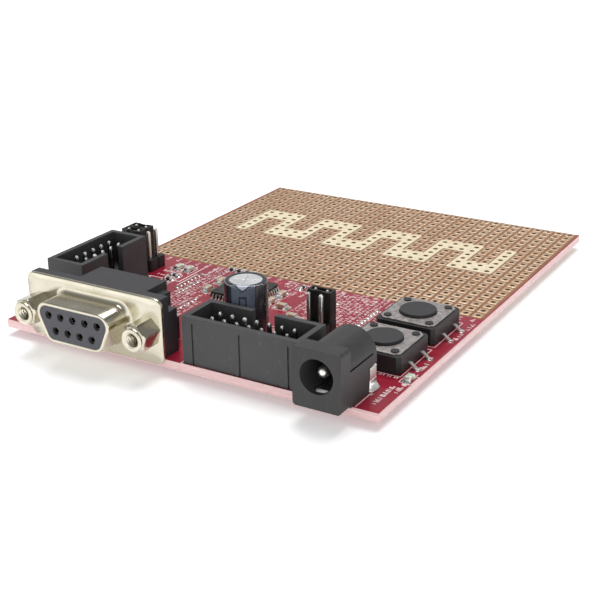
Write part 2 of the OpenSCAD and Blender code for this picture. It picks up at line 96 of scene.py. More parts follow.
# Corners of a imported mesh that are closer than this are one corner.
WELD = 0.001 * MM
# Faces that meet at more than this many degrees meet at an edge that shows.
SHARP = 32


def at(x, y, z=0.0):
    """A place in the row frame: x from the board's left edge, y from its front edge, z from its top."""
    return Vector((board_low.x + x * MM, board_low.y + y * MM, board_high.z + z * MM))


def on_board(point):
    """The board place (x, y, z), in millimetres, of a point in the row frame."""
    return Vector(point - at(0, 0)) / MM


def middle(node):
    low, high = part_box(node)
    return (low + high) / 2


def show(item):
    bpy.context.scene.collection.objects.link(item)


# ---------------------------------------------------------------- materials

class Look:
    """One procedural material. Its textures read the object's own metres, which are the row frame's."""

    def __init__(self, name, roughness=0.5, metallic=0.0, **shader_values):
        self.name = name
        self.material = bpy.data.materials.new(name)
        self.material.use_nodes = True
        tree = self.material.node_tree
        self.nodes, self.links = tree.nodes, tree.links
        self.shader = self.nodes["Principled BSDF"]
        self.shader.inputs["Roughness"].default_value = roughness
        self.shader.inputs["Metallic"].default_value = metallic
        for socket, value in shader_values.items():
            self.shader.inputs[socket.replace("_", " ")].default_value = value
        self.place = self.nodes.new("ShaderNodeTexCoord").outputs["Object"]
        self.surface = None

    def add(self, kind, sockets, output=0, **properties):
        """A node with its properties and sockets set, or linked; gives one output."""
        node = self.nodes.new(kind)
        for key, value in properties.items():
            setattr(node, key, value)
        for key, value in sockets.items():
            self.feed(node.inputs[key], value)
        return node.outputs[output]

    def feed(self, socket, value):
        if isinstance(value, bpy.types.NodeSocket):
            self.links.new(value, socket)
        elif socket.type == "RGBA" and len(value) == 3:
            socket.default_value = (*value, 1)
        else:
            socket.default_value = value

    def math(self, operation, a, b=0.0):
        return self.add("ShaderNodeMath", {0: a, 1: b}, operation=operation)

    def stretched(self, stretch):
        return self.add("ShaderNodeMapping", {"Vector": self.place, "Scale": stretch})

    def noise(self, per_mm, detail=3.0, stretch=None, roughness=0.55):
        place = self.stretched(stretch) if stretch else self.place
        sockets = {"Vector": place, "Scale": per_mm / MM, "Detail": detail, "Roughness": roughness}
        return self.add("ShaderNodeTexNoise", sockets)

    def level(self, value, low, high, start=0.3, end=0.7):
        """value's stretch from start to end, spread over low to high."""
        sockets = {"Value": value, "From Min": start, "From Max": end, "To Min": low, "To Max": high}
        return self.add("ShaderNodeMapRange", sockets)

    def blend(self, factor, a, b):
        node = self.nodes.new("ShaderNodeMix")
        node.data_type = "RGBA"
        for index, value in ((0, factor), (6, a), (7, b)):
            self.feed(node.inputs[index], value)
        return node.outputs[2]

    def mottled(self, texture, a, b, share=1.0, start=0.3, end=0.7):
        """a, with up to share of b in it where the texture goes from start to end."""
        return self.blend(self.level(texture, 0.0, share, start, end), a, b)

    def axis(self, index, source="Object"):
        """One coordinate of the place, or of the surface's normal."""
        vector = self.place if source == "Object" else self.add("ShaderNodeTexCoord", {}, source)
        return self.add("ShaderNodeSeparateXYZ", {"Vector": vector}, index)

    def paint(self, colour):
        self.feed(self.shader.inputs["Base Color"], colour)

    def gloss(self, value):
        self.feed(self.shader.inputs["Roughness"], value)

    def bump(self, height, depth_mm, strength=1.0):
        """Raises the surface by depth_mm where height is 1; a second call adds to the first."""
        sockets = {"Height": height, "Distance": depth_mm * MM, "Strength": strength}
        if self.surface is not None:
            sockets["Normal"] = self.surface
        self.surface = self.add("ShaderNodeBump", sockets)
        self.feed(self.shader.inputs["Normal"], self.surface)


def plain(name, texture, a, b, gloss, bump, share=1.0, **shader_values):
    """A look that follows one noise texture. texture, gloss and bump are what those methods take."""
    look = Look(name, **shader_values)
    noise = look.noise(*texture)
    look.paint(look.mottled(noise, a, b, share))
    look.gloss(look.level(noise, *gloss))
    look.bump(noise, *bump)
    return look


def moulded(name, colour, pale, roughness=0.42, grain_per_mm=11, shine=0.4):
    """Moulded plastic: spark-eroded grain, faint flow clouds, and paler scuffs."""
    look = Look(name, Specular_IOR_Level=shine)
    clouds = look.noise(0.35, 4)
    grain = look.noise(grain_per_mm, 2)
    flow = look.noise(0.9, 3, stretch=(1, 1, 6))
    body = look.mottled(clouds, colour, pale, 0.45)
    body = look.mottled(grain, body, pale, 0.25)
    scuffs = look.level(look.noise(1.7, 5, stretch=(1, 1, 0.4)), 0.0, 0.5, 0.62, 0.72)
    look.paint(look.blend(scuffs, body, [1.8 * c for c in pale]))
    sheen = look.math("ADD", grain, look.math("MULTIPLY", flow, 0.6))
    look.gloss(look.level(sheen, roughness - 0.07, roughness + 0.1, 0.5, 1.1))
    look.bump(grain, 0.012, 0.5)
    look.bump(flow, 0.02, 0.25)
    return look


def plated(name, colour, stained, roughness, brushed=(1, 1, 1), haze=0.12):
    """Plated or rolled metal: fine brushing, cloudy staining, and a haze that dulls its shine in patches."""
    look = Look(name, metallic=1.0)
    clouds = look.noise(0.25, 3)
    brush = look.noise(6, 3, stretch=brushed)
    specks = look.noise(9, 2)
    metal = look.mottled(clouds, colour, stained, 0.6)
    look.paint(look.mottled(specks, metal, stained, 0.3, 0.6, 0.8))
    look.gloss(look.level(look.math("ADD", clouds, brush), roughness, roughness + haze, 0.75, 1.25))
    look.bump(brush, 0.004, 0.3)
    look.bump(clouds, 0.015, 0.1)
    return look


def worn_steel():
    """Stamped switch cover: dull and mottled, with brighter scuffs."""
    look = Look("switch_steel", metallic=1.0)
    mottle = look.noise(0.9, 4)
    scuff = look.noise(5, 3, stretch=(0.2, 1, 1))
    steel = look.mottled(mottle, (0.36, 0.33, 0.32), (0.52, 0.49, 0.47), 1.0, 0.4, 0.62)
    look.paint(look.mottled(scuff, steel, (0.72, 0.7, 0.68), 0.6, 0.6, 0.8))
    look.gloss(look.level(scuff, 0.26, 0.5))
    look.bump(scuff, 0.006, 0.4)
    look.bump(mottle, 0.03, 0.2)
    return look


def header_pin():
    """Tinned pin: painted shade makes the shaft a dark, mottled tone for the shadow inside the shroud, and a
    painted highlight turns the top of the pin near white above a set height.
    """
    # Heights in millimetres over the board between which the painted highlight on the pin tops fades in.
    highlight_from, highlight_to = 7.7, 8.1
    look = Look("header_pin", metallic=1.0)
    tarnish = look.noise(3, 3, stretch=(1, 1, 0.2))
    # Painted shade: the shaft's tin is coloured near black, mottled, for the shadow inside the shroud.
    shaded_shaft = look.mottled(tarnish, (0.09, 0.088, 0.085), (0.22, 0.21, 0.2))
    # Painted highlight: tip rises from 0 to 1 between the two heights, and above them the pin is painted near
    # white.
    tip = look.level(look.axis(2), 0.0, 1.0, at(0, 0, highlight_from).z, at(0, 0, highlight_to).z)
    look.paint(look.blend(tip, shaded_shaft, (0.93, 0.92, 0.9)))
    look.gloss(look.level(tarnish, 0.2, 0.4))
    look.bump(tarnish, 0.01, 0.3)
    return look


def board_mask():
    """Red mask over copper and glass cloth on the faces, bare laminate on the cut edges."""
    look = Look("board_mask", roughness=0.3, Coat_Weight=0.25, Coat_Roughness=0.12)
    weave_x = look.noise(1.6, 1, stretch=(1, 0.06, 1))
    weave_y = look.noise(1.6, 1, stretch=(0.06, 1, 1))
    cloth = look.math("MAXIMUM", weave_x, weave_y)
    clouds = look.noise(0.08, 3)
    red = look.mottled(clouds, (0.25, 0.006, 0.022), (0.33, 0.012, 0.035))
    red = look.mottled(cloth, red, (0.4, 0.03, 0.05), 0.3, 0.5, 0.75)
    fibres = look.noise(4, 3, stretch=(0.15, 0.15, 1))
    layers = look.noise(1.2, 2, stretch=(0.02, 0.02, 1.6))
    laminate = look.mottled(fibres, (0.8, 0.54, 0.54), (0.9, 0.75, 0.74))
    laminate = look.mottled(layers, laminate, (0.62, 0.3, 0.31), 0.6)
    masked = look.level(look.math("ABSOLUTE", look.axis(2, "Normal")), 0.0, 1.0, 0.4, 0.6)
    look.paint(look.blend(masked, laminate, red))
    shade = look.math("ADD", masked, look.math("MULTIPLY", clouds, 0.2))
    look.gloss(look.level(shade, 0.75, 0.24, 0.1, 1.1))
    look.bump(cloth, 0.015, 0.35)
    look.bump(look.noise(2.5, 2), 0.01, 0.2)
    return look


def trace_mask():
    """The same red mask, a little lighter, where it lies over a copper track."""
    look = Look("trace_mask", roughness=0.28, Coat_Weight=0.25, Coat_Roughness=0.12)
    clouds = look.noise(0.3, 3)
    look.paint(look.mottled(clouds, (0.36, 0.02, 0.045), (0.48, 0.05, 0.075)))
    look.gloss(look.level(look.noise(5, 2), 0.22, 0.34))
    look.bump(clouds, 0.01, 0.2)
    return look


def field_mask():
    """Thin, dull brown mask in the gaps between the field's pads."""
    look = Look("field_mask", Specular_IOR_Level=0.3)
    stain = look.noise(0.2, 4)
    grit = look.noise(5, 3)
    brown = look.mottled(stain, (0.2, 0.085, 0.035), (0.3, 0.14, 0.065))
    look.paint(look.mottled(grit, brown, (0.38, 0.2, 0.1), 0.4))
    look.gloss(look.level(grit, 0.5, 0.7))
    look.bump(grit, 0.01, 0.4)
    return look


def pad_copper():
    """Gold-flashed pads with a soft tarnish, each a little different from the next."""
    look = Look("pad_copper", metallic=0.8)
    tone = look.noise(0.06, 3)
    spots = look.noise(2.4, 3)
    each = look.noise(0.45, 1)
    gold = look.mottled(tone, (0.6, 0.4, 0.25), (0.74, 0.56, 0.4))
    gold = look.mottled(each, gold, (0.82, 0.68, 0.52), 0.5)
    look.paint(look.mottled(spots, gold, (0.42, 0.24, 0.13), 0.45, 0.5, 0.75))
    look.gloss(look.level(spots, 0.3, 0.48))
    look.bump(spots, 0.015, 0.35)
    return look


def barrel_copper():
    """The plated wall of a hole, painted dark brown as painted shade for the shadow deep in the hole."""
    # Painted shade: both tones are a dark brown because the copper wall lies in the hole's shadow.
    brown, pale = (0.13, 0.06, 0.03), (0.3, 0.16, 0.08)
    return plain("barrel_copper", (3, 3), brown, pale, (0.35, 0.6), (0.02, 0.4), metallic=0.6)


def silkscreen():
    """Cream print ink: slightly uneven, with pinholes."""
    look = Look("silkscreen", roughness=0.6)
    ink = look.noise(1.1, 4)
    holes = look.noise(7, 2)
    cream = look.mottled(ink, (0.70, 0.6, 0.4), (0.82, 0.74, 0.55))
    look.paint(look.mottled(holes, cream, (0.5, 0.3, 0.18), 0.5, 0.62, 0.8))
    look.gloss(look.level(ink, 0.5, 0.7))
    look.bump(holes, 0.01, 0.4)
    return look


def white_ink():
    """Whiter ink of the part outlines, thin enough to let a little red through."""
    white, pink = (0.88, 0.8, 0.79), (0.66, 0.36, 0.38)
    return plain("white_ink", (3.5, 3), white, pink, (0.45, 0.65), (0.01, 0.3), share=0.55, roughness=0.55)


def solder():
    """Bright solder with a frosty skin and a trace of flux."""
    look = Look("solder", metallic=1.0)
    skin = look.noise(2.2, 4)
    frost = look.noise(14, 2)
    look.paint(look.mottled(skin, (0.88, 0.88, 0.86), (0.6, 0.59, 0.56), 0.7))
    look.gloss(look.level(look.math("ADD", skin, frost), 0.06, 0.24, 0.7, 1.3))
    look.bump(skin, 0.05, 0.5)
    look.bump(frost, 0.008, 0.4)
    return look


def film_sleeve():
    """Shrunk film: glossy, near black, with fine lengthwise draw lines."""
    black, grey = (0.012, 0.013, 0.017), (0.028, 0.03, 0.036)
    look = plain(
        "sleeve_film", (3, 3, (1, 1, 0.08)), black, grey, (0.2, 0.36), (0.02, 0.3),
        roughness=0.25, Coat_Weight=0.3, Coat_Roughness=0.1,
    )
    look.bump(look.noise(0.7, 2), 0.05, 0.25)
    return look


def film_stripe(name, colour, pale):
    """Blue-grey ink of the sleeve's stripe, or the darker ink of the marks on it."""
    return plain(
        name, (2.5, 3, (1, 1, 0.2)), colour, pale, (0.26, 0.4), (0.015, 0.3),
        roughness=0.3, Coat_Weight=0.25, Coat_Roughness=0.12,
    )


def lens():
    """Milky green-white lens of an unlit lamp."""
    return plain(
        "led_lens", (1.5, 3), (0.66, 0.74, 0.5), (0.86, 0.9, 0.76), (0.15, 0.3), (0.02, 0.3),
        roughness=0.2, Transmission_Weight=0.25, Coat_Weight=0.5, Coat_Roughness=0.08,
    )


def ceramic(name, colour, pale):
    """Fired ceramic: matt, faintly mottled."""
    look = Look(name)
    body = look.noise(2.2, 4)
    specks = look.noise(12, 2)
    look.paint(look.mottled(body, colour, pale))
    look.gloss(look.level(specks, 0.4, 0.65))
    look.bump(specks, 0.012, 0.45)
    return look


LOOKS = {look.name: look.material for look in (
    board_mask(), trace_mask(), field_mask(), pad_copper(), barrel_copper(),
    silkscreen(), white_ink(), solder(), worn_steel(), header_pin(), film_sleeve(), lens(),
    plated("nickel_shell", (0.68, 0.64, 0.53), (0.58, 0.54, 0.42), 0.16, (1, 1, 0.15)),
    plated("nickel_screw", (0.7, 0.66, 0.55), (0.52, 0.48, 0.37), 0.12, (1, 0.1, 1)),
    # Painted shade: both gold_contact tones are far darker than gold, for the contacts deep in the socket's
    # holes.
    plated("gold_contact", (0.34, 0.3, 0.23), (0.18, 0.16, 0.14), 0.24),
    plated("tinned_metal", (0.9, 0.89, 0.86), (0.7, 0.68, 0.64), 0.26, (1, 1, 0.2)),
    plated("can_aluminium", (0.93, 0.94, 0.95), (0.8, 0.81, 0.83), 0.3, (1, 0.3, 1)),
    plated("crystal_steel", (0.75, 0.75, 0.74), (0.55, 0.54, 0.52), 0.22),
    moulded("socket_face", (0.06, 0.06, 0.071), (0.08, 0.08, 0.094), 0.45),
    moulded("connector_black", (0.032, 0.032, 0.036), (0.044, 0.044, 0.048), 0.42),
    moulded("header_plastic", (0.048, 0.048, 0.051), (0.06, 0.06, 0.063), 0.42, shine=0.34),
    moulded("jack_plastic", (0.046, 0.045, 0.046), (0.06, 0.057, 0.059), 0.46, shine=0.2),
    moulded("switch_black", (0.014, 0.014, 0.015), (0.022, 0.022, 0.023), 0.42),
    moulded("plunger_grey", (0.022, 0.022, 0.025), (0.034, 0.034, 0.038), 0.42),
    moulded("shunt_black", (0.01, 0.01, 0.009), (0.018, 0.018, 0.016), 0.4),
    moulded("chip_black", (0.02, 0.02, 0.021), (0.034, 0.034, 0.034), 0.55, 7),
    moulded("bung_rubber", (0.015, 0.015, 0.015), (0.024, 0.024, 0.024), 0.7),
    film_stripe("film_stripe", (0.08, 0.1, 0.14), (0.12, 0.145, 0.19)),
    film_stripe("film_marks", (0.012, 0.017, 0.035), (0.022, 0.03, 0.055)),
    film_stripe("film_arrow", (0.36, 0.4, 0.46), (0.5, 0.54, 0.6)),
    ceramic("resistor_black", (0.02, 0.02, 0.024), (0.04, 0.04, 0.045)),
    ceramic("capacitor_tan", (0.46, 0.33, 0.2), (0.6, 0.46, 0.3)),
)}


# ---------------------------------------------------------------- making pieces

def dress(piece, finish, body=BOARD, replaces=()):
    """Links a piece, gives it its finish, ties it to its CAD body, and hides the CAD nodes it replaces."""
    show(piece)
    piece.data.materials.clear()
    piece.data.materials.append(LOOKS[finish])
    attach(piece, body)
    if replaces:
        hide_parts(*replaces)
    return piece


class Solid:
    """Faces gathered shape by shape, in millimetres from an origin in the row frame."""

    def __init__(self, origin=None):
        self.origin = at(0, 0) if origin is None else Vector(origin)
        self.points = []
        self.faces = []

    def skin(self, rings, closed=False, caps=True):
        """Joins rings of equal length; caps close the two ends, or closed joins the last to the first."""
        base, count = len(self.points), len(rings[0])
        for ring in rings:
            self.points.extend(ring)
        for row in range(len(rings) if closed else len(rings) - 1):
            a, b = base + row * count, base + (row + 1) % len(rings) * count
            for i in range(count):
                j = (i + 1) % count
                self.faces.append((a + i, a + j, b + j, b + i))
        if caps and not closed:
            last = base + (len(rings) - 1) * count
            self.faces.append(tuple(base + i for i in reversed(range(count))))
            self.faces.append(tuple(last + i for i in range(count)))

    def piece(self, name, finish, body=BOARD, replaces=(), sharp=SHARP):
        """The finished piece, smooth but for edges steeper than sharp degrees."""
        mesh = bpy.data.meshes.new(name)
        mesh.from_pydata([self.origin + Vector(p) * MM for p in self.points], [], self.faces)
        shape = bmesh.new()
        shape.from_mesh(mesh)
        bmesh.ops.recalc_face_normals(shape, faces=shape.faces)
        for edge in shape.edges:
            edge.smooth = edge.calc_face_angle(0) < math.radians(sharp)
        for face in shape.faces:
            face.smooth = True
        shape.to_mesh(mesh)
        shape.free()
        return dress(bpy.data.objects.new(name, mesh), finish, body, replaces)


def body_of(node):
    return frame["nodes"][node]["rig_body"]


SLOTS = {part["node"]: part["material_slot"] for part in frame["record"]["subparts"]}


def rounded(node, edge, segments=2):
    """A copy of a CAD node with its edges rounded by edge millimetres, which stands for it."""
    level = math.radians(1)
    shape = bmesh.new()
    shape.from_mesh(frame["nodes"][node].data)
    bmesh.ops.remove_doubles(shape, verts=shape.verts, dist=WELD)
    bmesh.ops.dissolve_limit(shape, angle_limit=level, verts=shape.verts, edges=shape.edges)
    steep = [item for item in shape.edges if item.calc_face_angle(0) > math.radians(SHARP)]
    curved = bmesh.ops.bevel(
        shape, geom=steep, offset=edge * MM, segments=segments, profile=0.5,
        affect="EDGES", clamp_overlap=True,
    )["faces"]
    normals = corner_normals(shape, set(curved))
    for item in list(shape.edges) + list(shape.faces):
        item.smooth = True
    mesh = bpy.data.meshes.new(node + "_rounded")
    shape.to_mesh(mesh)
    shape.free()
    for name in ("custom_normal", "sharp_edge"):
        if name in mesh.attributes:
            mesh.attributes.remove(mesh.attributes[name])
    mesh.normals_split_custom_set(normals)
    piece = bpy.data.objects.new(node + "_rounded", mesh)
    return dress(piece, SLOTS[node], body_of(node), [node])


def corner_normals(shape, curved):
    """A normal for each face corner: flat faces stay flat, and rounded edges turn from one to the next."""
    round_reach = 80
    shape.normal_update()
    area = {face: face.calc_area() for face in shape.faces}
    normals = []
    for face in shape.faces:
        limit = math.cos(math.radians(round_reach if face in curved else SHARP))
        for vertex in face.verts:
            flat = [f for f in vertex.link_faces if f not in curved]
            near = [f for f in flat if f.normal.dot(face.normal) > limit]
            total = sum((f.normal * area[f] for f in near or [face]), Vector())
            normals.append(tuple(total.normalized() if total.length > 0 else face.normal))
    return normals


def islands(node):
    """The box of each separate solid in a CAD node, as board places, from left to right."""
    shape = bmesh.new()
    shape.from_mesh(frame["nodes"][node].data)
    bmesh.ops.remove_doubles(shape, verts=shape.verts, dist=WELD)
    seen, boxes = set(), []
    for start in shape.verts:
        if start.index in seen:
            continue
        seen.add(start.index)
        reach, group = [start], []
        while reach:
            vertex = reach.pop()
            group.append(on_board(vertex.co))
            for edge in vertex.link_edges:
                other = edge.other_vert(vertex)
                if other.index not in seen:
                    seen.add(other.index)
                    reach.append(other)
        low = Vector(map(min, *group))
        boxes.append((low, Vector(map(max, *group))))
    shape.free()
    return sorted(boxes, key=lambda box: tuple(round(c, 3) for c in box[0]))


def around(centre, radius, turn):
    """The point at radius from the centre, at a turn in radians."""
    return centre[0] + radius * math.cos(turn), centre[1] + radius * math.sin(turn)


def arc(centre, radius, start, end, steps):
    """Points on an arc, both ends included; angles in degrees."""
    turns = [math.radians(start + (end - start) * i / steps) for i in range(steps + 1)]
    return [around(centre, radius, turn) for turn in turns]


def circle(radius, count, centre=(0, 0)):
    return [around(centre, radius, FULL_TURN * i / count) for i in range(count)]


def flat_ring(outline, z):
    return [(x, y, z) for x, y in outline]


def upright_ring(outline, y):
    return [(x, y, z) for x, z in outline]


def footprint(low, high):
    """The middle of a box on the board, its half width and its half depth."""
    return ((low.x + high.x) / 2, (low.y + high.y) / 2), (high.x - low.x) / 2, (high.y - low.y) / 2


def clipped(half_x, half_y, clip, centre=(0, 0)):
    """A rectangle's outline with its corners cut, from the right-hand side round."""
    x, y = half_x, half_y
    points = [
        (x, clip - y), (x, y - clip), (x - clip, y), (clip - x, y),
        (-x, y - clip), (-x, clip - y), (clip - x, -y), (x - clip, -y),
    ]
    return [(centre[0] + a, centre[1] + b) for a, b in points]


def lathe(solid, profile, count, centre, closed=False):
    """Turns a profile of (radius, z) round a vertical axis."""
    rings = [[(x, y, z) for x, y in circle(r, count, centre)] for r, z in profile]
    solid.skin(rings, closed, caps=not closed)


def main():
    """Everything that is shown, part by part."""
    serial_socket()
    box_headers()
    jumpers()
    power_socket()
    switches()
    capacitor()
    chips()
    prototyping_field()
    tracks_and_print()
    for node, item in frame["nodes"].items():
        if not item.hide_render:
            item.data.materials.clear()
            item.data.materials.append(LOOKS[SLOTS[node]])


# ---------------------------------------------------------------- serial socket

# Half sizes of the shell's D outline at its front, and the radius of its corners.
D_HALF_H = 3.8
D_TOP_W, D_BOTTOM_W = 8.2, 6.9
D_CORNER = 2.3


def cornered(corners, radius):
    """An outline through round corners (x, z, start, end), with even points along its straights."""
    steps, straight, points = 10, 8, []
    for i, (x, z, start, end) in enumerate(corners):
        turn = arc((x, z), radius, start, end, steps)
        x2, z2, start2, _ = corners[(i + 1) % len(corners)]
        goal = arc((x2, z2), radius, start2, start2 + 1, 1)[0]
        points += turn
        for s in range(1, straight):
            share = s / straight
            points.append(tuple(turn[-1][k] + (goal[k] - turn[-1][k]) * share for k in (0, 1)))
    return points


def d_shape(grow):
    """The socket's D outline, grown by grow millimetres."""
    top_x, bottom_x, z = D_TOP_W - D_CORNER, D_BOTTOM_W - D_CORNER, D_HALF_H - D_CORNER
    side = -math.degrees(math.atan2(top_x - bottom_x, 2 * z))
    corners = [
        (top_x, z, side, 90), (-top_x, z, 90, 180 - side),
        (-bottom_x, -z, 180 - side, 270), (bottom_x, -z, 270, 360 + side),
    ]
    return cornered(corners, D_CORNER + grow)


def flange_shape(width, height, corner, grow):
    """The flange's outline, grown by grow millimetres."""
    x, z = width / 2 - corner, height / 2 - corner
    corners = [(x, z, 0, 90), (-x, z, 90, 180), (-x, -z, 180, 270), (x, -z, 270, 360)]
    return cornered(corners, corner + grow)


def serial_socket():
    """The pressed shell: a flange, a flared root, a D-shaped wall and a rolled lip."""
    low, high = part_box("serial_shell")
    width, height = (high.x - low.x) / MM, (high.z - low.z) / MM
    origin = Vector(((low.x + high.x) / 2, high.y, (low.z + high.z) / 2))
    front = (low.y - high.y) / MM
    sheet, flare, wall, edge, nose = 0.8, 1.0, 0.4, 0.15, 0.36
    corner, steps = 1.6, 8
    rings = [upright_ring(d_shape(-wall), 0)]
    for grow, y in ((-edge, 0), (0, -edge), (0, edge - sheet), (-edge, -sheet)):
        rings.append(upright_ring(flange_shape(width, height, corner, grow), y))
    for step in range(steps + 1):
        turn = math.radians(90 * step / steps)
        y = -sheet - flare + flare * math.cos(turn)
        rings.append(upright_ring(d_shape(flare - flare * math.sin(turn)), y))
    for step in range(steps + 1):
        turn = math.radians(180 * step / steps)
        y = front + nose - nose * math.sin(turn)
        rings.append(upright_ring(d_shape(nose * math.cos(turn) - nose), y))
    rings.append(upright_ring(d_shape(-wall), front + 2 * nose))
    shell = Solid(origin)
    shell.skin(rings, closed=True)
    shell.piece("serial_shell_pressed", "nickel_shell", replaces=["serial_shell"], sharp=50)
    rounded("serial_insulator", 0.12)
    rounded("serial_housing", 0.2, 3)
    rounded("serial_ground_straps", 0.06)
    jackscrews()


def jackscrews():
    """Hexagonal posts with a round chamfered nose and a real thread in the bore."""
    flats, turn, whole = 4.75, 15, 9
    nose_r, bore_r, crest = 2.15, 1.12, 0.26
    thread_pitch, thread_l, per_turn = 0.635, 4.2, 8
    count, back, mouth = 72, -0.8, 0.15
    posts = Solid()
    for low, high in islands("serial_jackscrews"):
        x, z = (low.x + high.x) / 2, (low.z + high.z) / 2
        front = low.y

        def hexagon(limit):
            """The six-sided outline, turned down to a radius of at most limit."""
            points = []
            for i in range(count):
                angle = 360 * i / count
                off = (angle - turn) % 60 - 30
                r = min(flats / 2 / math.cos(math.radians(off)), limit)
                points.append(around((x, z), r, math.radians(angle)))
            return points

        rings = [upright_ring(hexagon(whole), back)]
        nose = ((0.95, whole), (0.75, 2.6), (0.55, 2.35), (0.42, nose_r), (0.12, nose_r), (0, nose_r - 0.12))
        for depth, limit in nose:
            rings.append(upright_ring(hexagon(limit), front + depth))
        rings.append(upright_ring(circle(bore_r + crest + 0.12, count, (x, z)), front))
        for step in range(int(thread_l / thread_pitch * per_turn)):
            depth = mouth + step * thread_pitch / per_turn
            ring = []
            for i in range(count):
                phase = (step / per_turn + i / count) % 1
                r = bore_r + crest * abs(2 * phase - 1)
                ring.append(around((x, z), r, FULL_TURN * i / count))
            rings.append(upright_ring(ring, front + depth))
        posts.skin(rings)
    posts.piece("serial_jackscrews_threaded", "nickel_screw", replaces=["serial_jackscrews"], sharp=24)


# ---------------------------------------------------------------- headers and jumpers

def pins(node, finish=None, tip=0.22):
    """Square pins with clipped edges and tapered ends, where a CAD node has them."""
    taper, clip = 0.14, 0.05
    posts = Solid()
    for low, high in islands(node):
        centre, half, _ = footprint(low, high)
        narrow = half - taper
        levels = ((narrow, low.z), (half, low.z + 2 * tip), (half, high.z - 1.6 * tip), (narrow, high.z))
        posts.skin([flat_ring(clipped(h, h, clip, centre), z) for h, z in levels])
    posts.piece(node + "_tapered", finish or SLOTS[node], replaces=[node])


def box_headers():
    for name in ("long_header", "short_header"):
        rounded(name + "_shroud", 0.16)
        pins(name + "_pins", "header_pin")


def jumpers():
    for name in ("mode_header", "boot_header"):
        rounded(name + "_base", 0.1)
        pins(name + "_pins")
    for name in ("mode_shunt_1", "mode_shunt_2", "boot_shunt"):
        rounded(name, 0.12)


# ---------------------------------------------------------------- power socket

def power_socket():
    """The socket's moulding and metal, and the solder that climbs its side lug."""
    rounded("power_housing", 0.28, 3)
    rounded("power_side_lug", 0.08)
    rounded("power_spring_contact", 0.06)
    low, high = (on_board(p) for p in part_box("power_side_lug"))
    lug, half_x, half_y = footprint(low, high)
    skin, reach, curl, fillet_h = 0.05, 1.0, 2.4, 2.1
    fillet = Solid()
    rings = []
    for share in (0, 0.12, 0.25, 0.4, 0.6, 0.8, 1):
        spread = reach * (1 - share) ** curl
        outline = clipped(half_x + skin + spread, half_y + skin + 0.8 * spread, 0.1 + 0.75 * spread, lug)
        rings.append(flat_ring(outline, fillet_h * share))
    fillet.skin(rings)
    piece = fillet.piece("power_lug_solder", "solder", sharp=80)
    soften(piece, 2)


def soften(piece, levels):
    """Rounds a coarse mesh by subdivision."""
    modifier = piece.modifiers.new("round", "SUBSURF")
    modifier.levels = modifier.render_levels = levels


# ---------------------------------------------------------------- switches

def switches():
    """Both push switches, each with a little solder at the feet of its leads."""
    foot, half_l, half_w, solder_h = 0.7, 0.7, 0.5, 0.08
    for number in (1, 2):
        name = f"switch_{number}"
        rounded(name + "_base", 0.14)
        rounded(name + "_cover", 0.07)
        rounded(name + "_plunger", 0.3, 4)
        rounded(name + "_leads", 0.06)
        joints = Solid()
        for low, high in islands(name + "_leads"):
            y = (low.y + high.y) / 2
            left = low.x < on_board(middle(name + "_base")).x
            x = low.x + foot if left else high.x - foot
            solder_pad(joints, (x, y), half_l, half_w, solder_h)
        joints.piece(name + "_solder", "solder", sharp=60)


def solder_pad(solid, centre, half_x, half_y, height):
    """A flat pad with solder that has drawn up into a low dome."""
    pad_h, clip = 0.04, 0.35 * half_y
    rings = []
    for share in (0, 0.35, 0.6, 0.8, 0.95):
        grow = math.sqrt(1 - share * share)
        outline = clipped(half_x * grow, half_y * grow, clip * grow, centre)
        rings.append(flat_ring(outline, pad_h * (share > 0) + height * share))
    solid.skin(rings)


# ---------------------------------------------------------------- capacitor

# The radius of the sleeve's shoulder.
SLEEVE_BEND = 0.45


